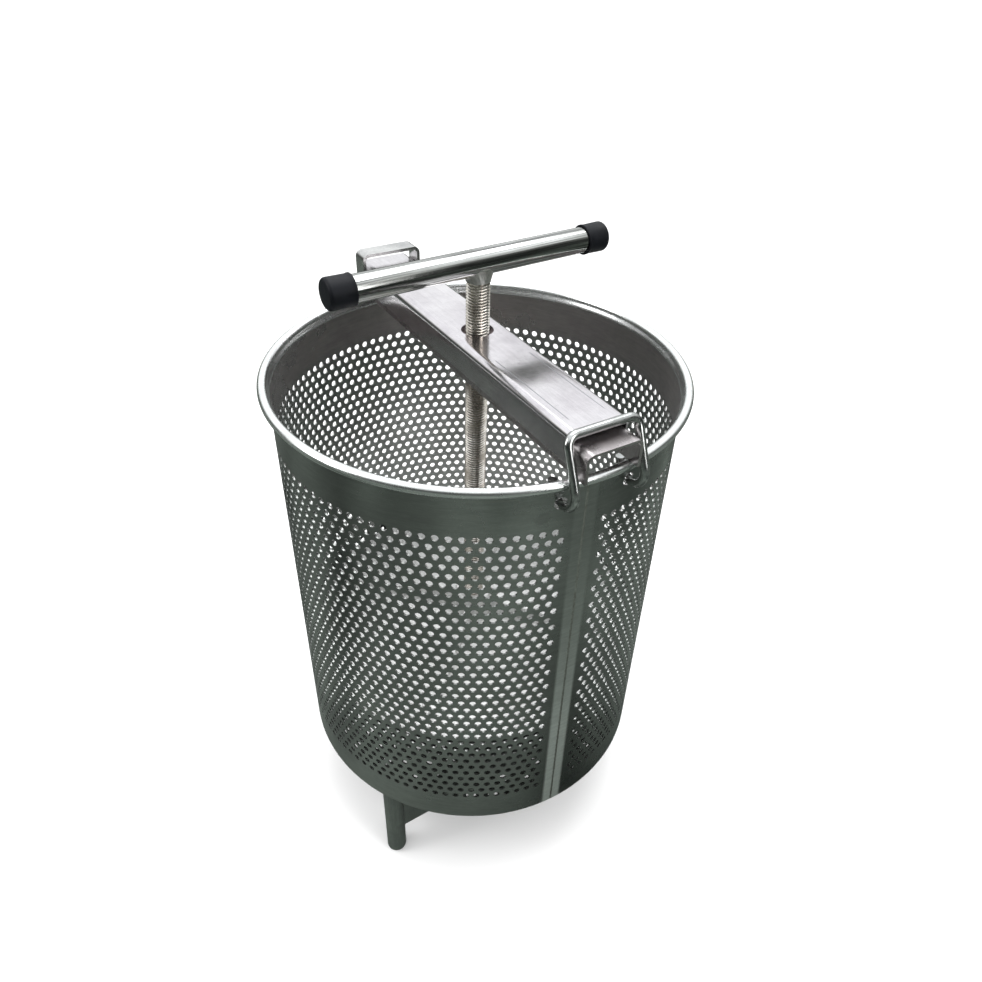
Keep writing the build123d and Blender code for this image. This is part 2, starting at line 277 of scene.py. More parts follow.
def wallPieces():
    x, z, step = latticeRows()
    split = wall["splitRow"]
    upper, upperQuads, high, low = latticeCells(x[:split], z[:split], step)
    lower, lowerQuads, _, _ = latticeCells(x[split:], z[split:], step)
    topColumns = bandColumns(x, step, 0)
    around = (wall["eyeHoleSpan"] + wall["eyeHoleMargin"]) * np.linspace(-1, 1, 9)
    topLevels = np.concatenate([wall["bandLevels"], wall["eyeHoleZ"] + around, [wall["bandTop"]]])
    eyeTurn = math.asin(wall["eyeHoleSide"] / wall["outside"])
    turns = [eyeTurn, -eyeTurn]
    start = topColumns[0] / wall["outside"]
    places = [(start + (turn - start) % (2 * math.pi)) * wall["outside"] for turn in turns]
    holes = [(place, wall["eyeHoleZ"], wall["eyeHoleRadius"]) for place in places]
    topEdge = bandEdge(z[0], high, low, 1)
    top = band(topColumns, topEdge, topLevels, holes)
    bottomColumns = bandColumns(x, step, -1)
    bottomEdge = bandEdge(z[-1], high, low, -1)
    bottomLevels = np.linspace(z[-1] - high - wall["bottomStep"], wall["bottom"], 6)
    bottom = band(bottomColumns, bottomEdge, bottomLevels)
    upperStrip = seamStrip(x, z, step, low, 0, split)
    lowerStrip = seamStrip(x, z, step, low, split, wall["rows"])
    pieces = [
        wallPiece("perforatedWallUpper", [(upper, upperQuads), upperStrip, top]),
        wallPiece("perforatedWallLower", [(lower, lowerQuads), lowerStrip, bottom]),
    ]
    return pieces, topColumns[:-1] / wall["outside"]


rimRoll = {"start": 176, "end": -128, "tuck": 0.0002, "creaseDrop": 0.0006, "creaseEnd": 0.0016}


def rolledRim(turns):
    # the sheet flares out, rolls over and down round the wire, and closes on the outside of the wall
    low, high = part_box("rim_wire")
    centreZ = (low[2] + high[2]) / 2
    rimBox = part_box("rolled_rim")
    reach = rimBox[1][2] - centreZ
    centreR = rimBox[1][0] - reach
    rise = np.linspace(0, 1, 8)
    ease = rise * rise * (3 - 2 * rise)
    flareZ = wall["bandTop"] + (centreZ - wall["bandTop"]) * rise
    flareR = wall["inside"] + (centreR - reach - wall["inside"]) * ease
    flare = np.stack([flareR, flareZ], axis=1)
    over = arc(centreR, centreZ, reach, rimRoll["start"], rimRoll["end"], 30)
    edge = over[-1, 1]
    crease = np.array([
        [wall["outside"] + rimRoll["tuck"], edge - rimRoll["creaseDrop"]],
        [wall["outside"], edge - rimRoll["creaseEnd"]],
        [wall["outside"], wall["bandTop"]],
    ])
    return ringPiece("rolledRim", np.concatenate([flare, over, crease])[::-1], turns)


bead = {"inset": 0.001, "rows": 420, "halfWidth": 0.0011, "height": 0.00028, "sunk": 0.00005, "base": 0.0004}


def seamWeld():
    # low ground-down bead along the seam: half an ellipse across,
    # its height and edge wandering a little along it as sums of sines
    across = np.linspace(-1, 1, 9)
    along = np.linspace(wall["bottom"] + bead["inset"], wall["bandTop"] - bead["inset"], bead["rows"])
    wander = 0.00018 * np.sin(along * 900) + 0.00012 * np.sin(along * 2300 + 1)
    width = bead["halfWidth"] + 0.00012 * np.sin(along * 1500)
    lift = bead["height"] * (1 + 0.25 * np.sin(along * 3100))
    sideways = wander[:, None] + width[:, None] * across
    turn = math.radians(wall["seamAngle"]) + sideways / wall["outside"]
    radius = wall["outside"] - bead["sunk"] + lift[:, None] * np.sqrt(1 - across ** 2)
    height = np.repeat(along[:, None], len(across), axis=1)
    outer = np.stack([radius * np.cos(turn), radius * np.sin(turn), height], axis=2).reshape(-1, 3)
    base = wall["outside"] - bead["base"]
    inner = np.stack([base * np.cos(turn), base * np.sin(turn), height], axis=2).reshape(-1, 3)
    points, faces = thicken(outer, inner, gridQuads(*height.shape))
    return buildMesh("seamWeld", points, faces)


wallMeshes, rimTurns = wallPieces()
rim = rolledRim(rimTurns)
seam = seamWeld()
basketPieces = [(mesh, "basket_wall", "perforated_steel") for mesh in wallMeshes + [seam]]
basketPieces.append((rim, "rolled_rim", "rim_steel"))
for piece, node, slotName in basketPieces:
    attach(piece, "basket")
    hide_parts(node)
print("basket wall made")


# ---------- crossbeam: two folded channels

beam = {"channelSheet": 0.0025, "channelCorner": 0.006, "coverSheet": 0.0015, "coverCorner": 0.0065,
        "coverHole": 0.0135, "channelHole": 0.011, "holeSpan": 0.018, "cornerPoints": 9,
        "clearOfHole": 1.4, "cutShare": 0.92, "edgeWidth": 0.0003, "edgeAngle": 50}


def foldedChannel(name, node, sheet, corner, holeRadius):
    # distance across the sheet runs down one leg, round a fold, over the top,
    # round a fold and down the other leg
    low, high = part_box(node)
    half, top, drop = high[1], high[2], high[2] - low[2] - corner
    flat = half - corner
    bend = corner * math.pi / 2
    folds = np.linspace(0, bend, beam["cornerPoints"])
    side = np.concatenate([flat + folds, flat + bend + drop * np.linspace(0.25, 1, 4)])
    middle = np.linspace(-flat, flat, 25)
    across = np.concatenate([-side[::-1], middle[1:-1], side])
    steps = np.arange(-1, 1.001, 0.125) * beam["holeSpan"]
    clear = beam["holeSpan"] * beam["clearOfHole"]
    near = np.linspace(clear, high[0], 26)
    far = np.linspace(low[0], -clear, 26)
    along = np.concatenate([far, steps, near])
    span = beam["holeSpan"] * beam["cutShare"]
    points, quads = sheetWithHoles(across, along, [(0, 0, holeRadius)], span)
    s, x = np.abs(points[:, 0]), points[:, 1]
    turn = np.clip((s - flat) / corner, 0, math.pi / 2)
    down = np.clip(s - flat - bend, 0, None)
    sign = np.sign(points[:, 0])
    normalY, normalZ = np.sin(turn) * sign, np.cos(turn)
    y = np.where(s < flat, points[:, 0], sign * (flat + corner * np.sin(turn)))
    z = top - corner * (1 - np.cos(turn)) - down
    outer = np.stack([x, y, z], axis=1)
    inner = outer - sheet * np.stack([np.zeros(len(x)), normalY, normalZ], axis=1)
    first, quads = weld(outer, quads)
    shell, faces = thicken(outer[first], inner[first], quads[:, ::-1])
    piece = buildMesh(name, shell, faces)
    bevel = piece.modifiers.new("softEdges", "BEVEL")
    bevel.width, bevel.segments, bevel.limit_method = beam["edgeWidth"], 2, "ANGLE"
    bevel.angle_limit = math.radians(beam["edgeAngle"])
    return piece


channelSizes = (beam["channelSheet"], beam["channelCorner"], beam["channelHole"])
coverSizes = (beam["coverSheet"], beam["coverCorner"], beam["coverHole"])
channel = foldedChannel("beamChannel", "beam_channel", *channelSizes)
cover = foldedChannel("beamCover", "beam_cover", *coverSizes)
for piece, node in ((channel, "beam_channel"), (cover, "beam_cover")):
    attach(piece, "crossbeam")
    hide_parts(node)
print("crossbeam made")


# ---------- screw and handle

screw = {"pitch": 0.0025, "depth": 0.00135, "crest": 0.12, "around": 32,
         "intoHandle": 0.004, "fade": 0.0012, "endDepth": 0.0004}
handle = {"turn": 2.25, "shift": 0.003, "half": 0.128, "tubeRadius": 0.01065, "tubeWall": 0.002,
          "tubeEdge": 0.001, "tubeSteps": 30, "segments": 72}
cap = {"radius": 0.01245, "length": 0.022, "end": 0.003, "gap": 0.00005, "draft": 0.0004, "crown": 0.0905}


def threadedRod():
    # the profile of one pitch (crest, flank, root, flank) follows a helix,
    # and the radius is held at the root past each end
    low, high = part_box("screw")
    radius = high[0]
    root = radius - screw["depth"]
    crest = screw["crest"]
    shares = np.array([0, crest, 0.5, 0.5 + crest])
    heights = np.array([radius, radius, root, root])
    turns = int((high[2] - low[2]) / screw["pitch"]) + 3
    share = (np.arange(turns)[:, None] + shares).ravel()
    profile = np.tile(heights, turns)
    side = np.arange(screw["around"])
    lift = (share[:, None] + side / screw["around"] - 1) * screw["pitch"] + low[2]
    top = high[2] - screw["intoHandle"]
    run = np.minimum(lift - low[2], top - lift) / screw["fade"]
    blend = np.clip(run, 0, 1)
    ring = root - screw["endDepth"] + (profile[:, None] - root + screw["endDepth"]) * blend
    lift = np.clip(lift, low[2], top)
    turn = side / screw["around"] * 2 * np.pi
    # the helix closes on itself one pitch further along
    grid = np.arange(len(share) * screw["around"]).reshape(len(share), screw["around"])
    after = np.roll(grid, -1, axis=1)
    shift = len(shares)
    after[:, -1] = np.concatenate([grid[shift:, 0], np.full(shift, grid[-1, 0])])
    quads = np.stack([grid[:-1], after[:-1], after[1:], grid[1:]], axis=2).reshape(-1, 4)
    points = np.stack([ring * np.cos(turn), ring * np.sin(turn), lift], axis=2).reshape(-1, 3)
    ends = np.array([[0, 0, low[2]], [0, 0, top]])
    count = len(points)
    bottomRing, topRing = grid[0], grid[-1]
    fans = [
        np.stack([np.full(screw["around"], count), np.roll(bottomRing, -1), bottomRing], axis=1),
        np.stack([np.full(screw["around"], count + 1), topRing, np.roll(topRing, -1)], axis=1),
    ]
    points = np.concatenate([points, ends])
    return buildMesh("screwThread", points, [quads] + fans, 25.0)


def alongHandle(z):
    # turns a local Z axis into the handle's own direction, at its height
    turn = Matrix.Rotation(math.radians(handle["turn"]), 4, "Z")
    turn = turn @ Matrix.Translation((0, -handle["shift"], 0))
    return np.array(Matrix.Translation((0, 0, z)) @ turn @ Matrix.Rotation(math.radians(90), 4, "X"))


tubeLow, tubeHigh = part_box("handle_tube")
handleZ = (tubeLow[2] + tubeHigh[2]) / 2
handleHalf = handle["half"]


def handleTube():
    # plain pipe with rolled-in ends hidden in the caps
    radius, half, edge = handle["tubeRadius"], handleHalf - cap["end"], handle["tubeEdge"]
    inside = radius - handle["tubeWall"]
    steps = np.linspace(-half + edge, half - edge, handle["tubeSteps"])
    outside = np.stack([np.full(len(steps), radius), steps], axis=1)
    firstEdge = arc(radius - edge, -half + edge, edge, -90, -10, 4)
    lastEdge = arc(radius - edge, half - edge, edge, 10, 90, 4)
    profile = np.concatenate([[[inside, -half]], firstEdge, outside, lastEdge, [[inside, half]]])
    turns = np.linspace(0, 2 * np.pi, handle["segments"], endpoint=False)
    grid = np.stack([profile[:, :1] * np.cos(turns), profile[:, :1] * np.sin(turns),
                     np.repeat(profile[:, 1:], len(turns), axis=1)], axis=2)
    place = alongHandle(handleZ)
    points = grid.reshape(-1, 3) @ place[:3, :3].T + place[:3, 3]
    return buildMesh("handleTube", points, [gridQuads(len(profile), len(turns), True, True)])


def handleCap(name, side):
    # moulded cap: slightly crowned end, round shoulder, faint draft and a small lip at its mouth
    radius, bore, crown = cap["radius"], handle["tubeRadius"] + cap["gap"], cap["crown"]
    mouthZ = handleHalf - cap["length"]
    flatEnd = math.degrees((radius - 0.0032) / crown)
    end = arc(0, handleHalf - crown, crown, 90, 90 - flatEnd, 8)
    shoulder = arc(radius - 0.0030, handleHalf - 0.0034, 0.0029, 80, 0, 9)
    wallR = np.linspace(radius - 0.0001, radius - cap["draft"], 5)
    wallZ = np.linspace(handleHalf - 0.005, mouthZ + 0.0026, 5)
    wallLine = np.stack([wallR, wallZ], axis=1)
    lipStart = [[radius - 0.0001, mouthZ + 0.0018]]
    lip = np.concatenate([lipStart, arc(radius - 0.0006, mouthZ + 0.0006, 0.0006, 0, -90, 4)])
    boreLine = np.array([
        [bore + 0.0004, mouthZ],
        [bore, mouthZ + 0.0004],
        [bore, handleHalf - cap["end"]],
    ])
    profile = np.concatenate([end[1:], shoulder, wallLine, lip, boreLine])[::-1]
    place = alongHandle(handleZ)
    if side > 0:
        place = place @ np.diag([1.0, -1.0, -1.0, 1.0])
    return spinPiece(name, profile, place, handle["segments"])


fillet = {"footGap": 0.0004, "topGap": 0.0010, "flare": 0.0017, "ripple": 0.00022, "inside": 0.0006}


def handleWeld():
    # rippled fillet: its foot circles the screw, its top follows the underside of the pipe,
    # and its radius grows between them as a power of the height
    turn = np.linspace(0, 2 * np.pi, 96, endpoint=False)
    share = np.linspace(0, 1, 12)[:, None]
    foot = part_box("screw")[1][0]
    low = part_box("handle_weld")[0][2]
    pipe = handle["tubeRadius"]
    across = np.cos(turn - math.radians(handle["turn"]))
    topR = foot + fillet["topGap"] + fillet["flare"] * (1 - np.abs(across)) ** 0.8
    footR = foot + fillet["footGap"]
    radius = footR + (topR - footR) * share ** 1.6
    x = radius * across
    sideways = np.minimum(np.abs(x), pipe * 0.93)
    under = handleZ - np.sqrt(np.clip(pipe ** 2 - sideways ** 2, 0, None))
    z = low + (under - low) * share
    ripple = fillet["ripple"] * np.sin(turn * 22 + share * 9) * np.sin(np.pi * share)
    radius = radius + ripple
    outer = np.stack([radius * np.cos(turn), radius * np.sin(turn), z + 0 * turn], axis=2)
    hidden = foot - fillet["inside"] + 0 * share
    inner = np.stack([hidden * np.cos(turn), hidden * np.sin(turn), z + 0 * turn], axis=2)[::-1]
    grid = np.concatenate([outer, inner])
    faces = [gridQuads(grid.shape[0], grid.shape[1], True, True)]
    return buildMesh("handleWeld", grid.reshape(-1, 3), faces, 60.0)


thread = threadedRod()
tube = handleTube()
weldBead = handleWeld()
capNear, capFar = handleCap("handleCapNear", -1), handleCap("handleCapFar", 1)
screwPieces = [
    (thread, "screw", "screw_steel"),
    (tube, "handle_tube", "handle_steel"),
    (weldBead, "handle_weld", "weld_steel"),
    (capNear, "handle_cap_near", "cap_rubber"),
    (capFar, "handle_cap_far", "cap_rubber"),
]
for piece, node, slotName in screwPieces:
    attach(piece, "screw")
    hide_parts(node)
print("screw and handle made")


# ---------- shader groups

def newGroup(name, inputs, outputs):
    group = bpy.data.node_groups.new(name, "ShaderNodeTree")
    for label, kind, value in inputs:
        socket = group.interface.new_socket(label, in_out="INPUT", socket_type=kind)
        if value is not None:
            socket.default_value = value
    for label, kind in outputs:
        group.interface.new_socket(label, in_out="OUTPUT", socket_type=kind)
    return group, group.nodes.new("NodeGroupInput"), group.nodes.new("NodeGroupOutput")


def addNode(tree, kind, **settings):
    # each setting is a property of the node, and the inputs dictionary holds the values of its sockets
    node = tree.nodes.new(kind)
    for key, value in settings.pop("inputs", {}).items():
        node.inputs[key].default_value = value
    for key, value in settings.items():
        setattr(node, key, value)
    return node


def noiseNode(tree, vector, scale, detail=2.0, roughness=0.5):
    node = addNode(tree, "ShaderNodeTexNoise", inputs={"Detail": detail, "Roughness": roughness})
    tree.links.new(vector, node.inputs["Vector"])
    if isinstance(scale, (int, float)):
        node.inputs["Scale"].default_value = scale
    else:
        tree.links.new(scale, node.inputs["Scale"])
    return node.outputs["Fac"]


def mathNode(tree, operation, first, second):
    node = addNode(tree, "ShaderNodeMath", operation=operation)
    for socket, value in zip(node.inputs, (first, second)):
        if isinstance(value, (int, float)):
            socket.default_value = value
        else:
            tree.links.new(value, socket)
    return node.outputs[0]


def rangeNode(tree, value, low, high, outLow, outHigh):
    node = addNode(tree, "ShaderNodeMapRange", inputs={"From Min": low, "From Max": high})
    tree.links.new(value, node.inputs["Value"])
    for name, item in (("To Min", outLow), ("To Max", outHigh)):
        if isinstance(item, (int, float)):
            node.inputs[name].default_value = item
        else:
            tree.links.new(item, node.inputs[name])
    return node.outputs["Result"]


def grainGroup():
    # brushed lines: noise squeezed along two axes and drawn out along the third, coarse and fine together
    sockets = [
        ("Vector", "NodeSocketVector", None),
        ("Stretch", "NodeSocketVector", (1, 1, 1)),
        ("Scale", "NodeSocketFloat", 900.0),
    ]
    group, start, end = newGroup("brushedGrain", sockets, [("Height", "NodeSocketFloat")])
    drawn = addNode(group, "ShaderNodeVectorMath", operation="MULTIPLY")
    group.links.new(start.outputs["Vector"], drawn.inputs[0])
    group.links.new(start.outputs["Stretch"], drawn.inputs[1])
    fine = noiseNode(group, drawn.outputs[0], start.outputs["Scale"], 3.0, 0.6)
    wide = mathNode(group, "MULTIPLY", start.outputs["Scale"], 0.22)
    coarse = noiseNode(group, drawn.outputs[0], wide, 2.0, 0.5)
    fineShare = mathNode(group, "MULTIPLY", fine, 0.6)
    coarseShare = mathNode(group, "MULTIPLY", coarse, 0.4)
    group.links.new(mathNode(group, "ADD", fineShare, coarseShare), end.inputs["Height"])
    return group


def smudgeGroup():
    # soft cloudy marks with a few smaller, sharper ones, as handling and washing leave on steel
    sockets = [
        ("Vector", "NodeSocketVector", None),
        ("Scale", "NodeSocketFloat", 9.0),
        ("Spots", "NodeSocketFloat", 70.0),
    ]
    group, start, end = newGroup("smudges", sockets, [("Mask", "NodeSocketFloat")])
    cloud = noiseNode(group, start.outputs["Vector"], start.outputs["Scale"], 5.0, 0.62)
    cloud = rangeNode(group, cloud, 0.38, 0.68, 0.0, 1.0)
    spots = noiseNode(group, start.outputs["Vector"], start.outputs["Spots"], 3.0, 0.55)
    spots = rangeNode(group, spots, 0.60, 0.72, 0.0, 0.55)
    group.links.new(mathNode(group, "MAXIMUM", cloud, spots), end.inputs["Mask"])
    return group


grain, smudges = grainGroup(), smudgeGroup()


# ---------- materials

def newMaterial(name, settings):
    material = bpy.data.materials.new(name)
    material.use_nodes = True
    tree = material.node_tree
    tree.nodes.clear()
    shader = tree.nodes.new("ShaderNodeBsdfPrincipled")
    output = tree.nodes.new("ShaderNodeOutputMaterial")
    tree.links.new(shader.outputs[0], output.inputs["Surface"])
    for key, value in settings.items():
        shader.inputs[key].default_value = value
    place = tree.nodes.new("ShaderNodeTexCoord").outputs["Object"]
    return material, tree, shader, place


def groupNode(tree, group, place, **values):
    node = addNode(tree, "ShaderNodeGroup", node_tree=group)
    tree.links.new(place, node.inputs["Vector"])
    for key, value in values.items():
        node.inputs[key].default_value = value
    return node.outputs[0]


def mixColors(tree, factor, first, second):
    node = addNode(tree, "ShaderNodeMix", data_type="RGBA")
    tree.links.new(factor, node.inputs["Factor"])
    for socket, value in ((node.inputs[6], first), (node.inputs[7], second)):
        if isinstance(value, tuple):
            socket.default_value = (*value, 1.0)
        else:
            tree.links.new(value, socket)
    return node.outputs[2]


def addBump(tree, shader, height, strength, distance):
    bump = addNode(tree, "ShaderNodeBump", inputs={"Strength": strength, "Distance": distance})
    tree.links.new(height, bump.inputs["Height"])
    tree.links.new(bump.outputs["Normal"], shader.inputs["Normal"])


def turnedPlace(tree, place, degrees):
    # the same place seen in axes turned back about Z, so that the given direction is X
    turned = addNode(tree, "ShaderNodeVectorRotate", rotation_type="Z_AXIS")
    turned.inputs["Angle"].default_value = -math.radians(degrees)
    tree.links.new(place, turned.inputs["Vector"])
    return turned.outputs["Vector"]


def splitPlace(tree, place):
    split = tree.nodes.new("ShaderNodeSeparateXYZ")
    tree.links.new(place, split.inputs[0])
    return split.outputs


# distances that a mask starts and ends at: across the strip, and up the wall or along the cover
seamSheen = {"edge": (0.0108, 0.0082), "heights": (0.44, 0.22), "least": 0.15}
darkLine = {"side": 0.0155, "edge": (0.00055, 0.0002), "middle": 0.104, "reach": (0.050, 0.047)}
bandFade = 0.010


def seamSheenBand(tree, place):
    # up to 1 on the outside of the wall where the sheet's edges meet, from the distance across that radius,
    # and fading with height; the strip is painted near white there, a painted sheen strongest low on the
    # wall, and made rougher
    spot = splitPlace(tree, turnedPlace(tree, place, wall["seamAngle"]))
    across = mathNode(tree, "ABSOLUTE", spot["Y"], 0.0)
    strip = rangeNode(tree, across, *seamSheen["edge"], 0.0, 1.0)
    low = rangeNode(tree, spot["Z"], *seamSheen["heights"], seamSheen["least"], 1.0)
    outside = mathNode(tree, "GREATER_THAN", spot["X"], wall["outside"] - wall["faceDepth"])
    return mathNode(tree, "MULTIPLY", mathNode(tree, "MULTIPLY", strip, low), outside)


def insideLitBand(tree, place):
    # 1 on the side of the sheet that faces the axis, above the holes; a lighter, warmer copy of the wall's
    # tone is painted there, standing in for reflected light
    flat = addNode(tree, "ShaderNodeVectorMath", operation="MULTIPLY", inputs={1: (1.0, 1.0, 0.0)})
    tree.links.new(place, flat.inputs[0])
    reach = addNode(tree, "ShaderNodeVectorMath", operation="LENGTH")
    tree.links.new(flat.outputs[0], reach.inputs[0])
    height = splitPlace(tree, place)["Z"]
    above = rangeNode(tree, height, wall["topRow"] - bandFade, wall["topRow"] + bandFade, 0.0, 1.0)
    middle = wall["outside"] - wall["faceDepth"]
    inside = mathNode(tree, "LESS_THAN", reach.outputs["Value"], middle)
    return mathNode(tree, "MULTIPLY", above, inside)


def coverDarkLines(tree, place):
    # 1 on two thin lines along the near half of the cover's top, where the tone is darkened
    spot = splitPlace(tree, place)
    away = mathNode(tree, "ABSOLUTE", spot["Y"], 0.0)
    offset = mathNode(tree, "ABSOLUTE", mathNode(tree, "SUBTRACT", away, darkLine["side"]), 0.0)
    line = rangeNode(tree, offset, *darkLine["edge"], 0.0, 1.0)
    middle = mathNode(tree, "ABSOLUTE", mathNode(tree, "SUBTRACT", spot["X"], darkLine["middle"]), 0.0)
    return mathNode(tree, "MULTIPLY", line, rangeNode(tree, middle, *darkLine["reach"], 0.0, 1.0))


def steelMaterial(name, look):
    # brushed metal: two tones and two roughnesses mixed by smudges, and fine lines in the bump and the tone
    material, tree, shader, place = newMaterial(name, {"Metallic": 1.0})
    if "turn" in look:
        place = turnedPlace(tree, place, look["turn"])
    lines = groupNode(tree, grain, place, Stretch=look["stretch"], Scale=look["grainScale"])
    marks = groupNode(tree, smudges, place, Scale=look["smudgeScale"], Spots=look["spotScale"])
    tone = mixColors(tree, marks, look["color"], look["markColor"])
    # the inner face gets a lighter, warmer copy of the tone: painted light standing in for what that face
    # reflects
    if "insideLitColor" in look:
        insideLitTone = mixColors(tree, marks, look["insideLitColor"], look["insideLitMark"])
        tone = mixColors(tree, insideLitBand(tree, place), tone, insideLitTone)
    # a mask tints the tone and roughness: a painted sheen on the wall's seam strip, thin dark lines on the
    # cover
    if "mask" in look:
        mask = look["mask"](tree, place)
        tone = mixColors(tree, mask, tone, look["maskColor"])
    streak = rangeNode(tree, lines, 0.35, 0.65, 1.0 - look["streak"], 1.0)
    toned = addNode(tree, "ShaderNodeMix", data_type="RGBA", blend_type="MULTIPLY", inputs={"Factor": 1.0})
    tree.links.new(tone, toned.inputs[6])
    tree.links.new(streak, toned.inputs[7])
    tree.links.new(toned.outputs[2], shader.inputs["Base Color"])
    rough = rangeNode(tree, marks, 0.0, 1.0, look["rough"], look["markRough"])
    if "mask" in look:
        rough = rangeNode(tree, mask, 0.0, 1.0, rough, look["maskRough"])
    tree.links.new(rough, shader.inputs["Roughness"])
    addBump(tree, shader, lines, look["bump"], 0.0002)
    return material


steels = {
    "wallSteel": {
        "color": (0.4, 0.415, 0.4), "markColor": (0.29, 0.3, 0.29), "rough": 0.24, "markRough": 0.38,
        "stretch": (0.08, 0.08, 1.0), "grainScale": 1600.0, "smudgeScale": 9.0, "spotScale": 60.0,
        # maskColor paints the seam strip near white: a painted sheen that fades up the wall
        "streak": 0.20, "bump": 0.10, "maskColor": (0.74, 0.79, 0.75), "maskRough": 0.60,
        # the inner face's lighter, warmer tone is painted light standing in for its reflections
        "insideLitColor": (0.54, 0.495, 0.50), "insideLitMark": (0.40, 0.365, 0.375), "mask": seamSheenBand,
    },
    # the rolled rim is the wall's own sheet, painted near white: a painted highlight over the same steel
    "rimLitSteel": {
        "color": (0.93, 0.95, 0.94), "markColor": (0.78, 0.80, 0.79), "rough": 0.20, "markRough": 0.34,
        "stretch": (0.2, 0.2, 1.0), "grainScale": 1400.0, "smudgeScale": 16.0, "spotScale": 90.0,
        "streak": 0.15, "bump": 0.05,
    },
    "weldSteel": {
        "color": (0.52, 0.53, 0.5), "markColor": (0.3, 0.3, 0.27), "rough": 0.34, "markRough": 0.52,
        "stretch": (1.0, 1.0, 1.0), "grainScale": 700.0, "smudgeScale": 60.0, "spotScale": 240.0,
        "streak": 0.30, "bump": 0.35,
    },
    "beamSteel": {
        "color": (0.76, 0.735, 0.75), "markColor": (0.56, 0.53, 0.555), "rough": 0.13,
        "markRough": 0.25, "stretch": (0.05, 1.0, 1.0), "grainScale": 1300.0, "smudgeScale": 20.0,
        # maskColor darkens two thin lines on the cover's top
        "spotScale": 110.0, "streak": 0.12, "bump": 0.06, "maskColor": (0.30, 0.30, 0.32),
        "maskRough": 0.30, "mask": coverDarkLines,
    },
    "channelSteel": {
        "color": (0.56, 0.52, 0.525), "markColor": (0.38, 0.345, 0.35), "rough": 0.22,
        "markRough": 0.36, "stretch": (0.05, 1.0, 1.0), "grainScale": 1300.0, "smudgeScale": 26.0,
        "spotScale": 120.0, "streak": 0.18, "bump": 0.06,
    },
    "handleSteel": {
        "color": (0.8, 0.81, 0.79), "markColor": (0.62, 0.63, 0.6), "rough": 0.08, "markRough": 0.17,
        "stretch": (1.0, 0.012, 1.0), "grainScale": 720.0, "smudgeScale": 24.0, "spotScale": 130.0,
        "streak": 0.85, "bump": 0.12, "turn": handle["turn"],
    },
    "threadSteel": {
        "color": (0.80, 0.76, 0.70), "markColor": (0.42, 0.38, 0.32), "rough": 0.17, "markRough": 0.34,
        "stretch": (0.2, 0.2, 1.0), "grainScale": 1800.0, "smudgeScale": 40.0, "spotScale": 220.0,
        "streak": 0.35, "bump": 0.05,
    },
    "rodSteel": {
        "color": (0.56, 0.57, 0.56), "markColor": (0.34, 0.35, 0.34), "rough": 0.16, "markRough": 0.32,
        "stretch": (1.0, 1.0, 0.1), "grainScale": 1200.0, "smudgeScale": 50.0, "spotScale": 200.0,
        "streak": 0.2, "bump": 0.05,
    },
    "keeperSteel": {
        "color": (0.68, 0.68, 0.67), "markColor": (0.46, 0.46, 0.46), "rough": 0.16, "markRough": 0.32,
        "stretch": (1.0, 0.1, 1.0), "grainScale": 1200.0, "smudgeScale": 40.0, "spotScale": 180.0,
        "streak": 0.2, "bump": 0.05,
    },
    "legSteel": {
        "color": (0.36, 0.38, 0.365), "markColor": (0.25, 0.265, 0.255), "rough": 0.34,
        "markRough": 0.48, "stretch": (1.0, 1.0, 0.06), "grainScale": 1300.0, "smudgeScale": 22.0,
        "spotScale": 120.0, "streak": 0.25, "bump": 0.08,
    },
    "plateSteel": {
        "color": (0.88, 0.88, 0.87), "markColor": (0.72, 0.72, 0.71), "rough": 0.56, "markRough": 0.68,
        "stretch": (0.05, 1.0, 1.0), "grainScale": 900.0, "smudgeScale": 12.0, "spotScale": 80.0,
        "streak": 0.10, "bump": 0.06,
    },
    "nutSteel": {
        "color": (0.40, 0.39, 0.37), "markColor": (0.24, 0.23, 0.21), "rough": 0.26, "markRough": 0.42,
        "stretch": (1.0, 1.0, 1.0), "grainScale": 900.0, "smudgeScale": 60.0, "spotScale": 260.0,
        "streak": 0.2, "bump": 0.08,
    },
    "washerBrass": {
        "color": (0.66, 0.46, 0.20), "markColor": (0.42, 0.28, 0.12), "rough": 0.28, "markRough": 0.45,
        "stretch": (1.0, 1.0, 1.0), "grainScale": 900.0, "smudgeScale": 60.0, "spotScale": 260.0,
        "streak": 0.2, "bump": 0.06,
    },
}
made = {name: steelMaterial(name, look) for name, look in steels.items()}


def rubberMaterial():
    # moulded black rubber: a fine pebbled skin, dusty greyer patches and a soft sheen
    material, tree, shader, place = newMaterial("capRubber", {"Metallic": 0.0, "Specular IOR Level": 0.18})
    marks = groupNode(tree, smudges, place, Scale=70.0, Spots=320.0)
    color = mixColors(tree, marks, (0.0015, 0.002, 0.0035), (0.005, 0.006, 0.009))
    tree.links.new(color, shader.inputs["Base Color"])
    tree.links.new(rangeNode(tree, marks, 0.0, 1.0, 0.42, 0.60), shader.inputs["Roughness"])
    pebbles = noiseNode(tree, place, 2600.0, 2.0, 0.5)
    addBump(tree, shader, pebbles, 0.18, 0.0002)
    return material


made["capRubber"] = rubberMaterial()


def dress(target, name):
    target.data.materials.clear()
    target.data.materials.append(made[name])


pieceLooks = [(piece, "wallSteel") for piece in wallMeshes] + [
    (rim, "rimLitSteel"), (seam, "weldSteel"), (cover, "beamSteel"), (channel, "channelSteel"),
    (thread, "threadSteel"), (tube, "handleSteel"), (weldBead, "weldSteel"),
    (capNear, "capRubber"), (capFar, "capRubber"),
]
for piece, look in pieceLooks:
    dress(piece, look)

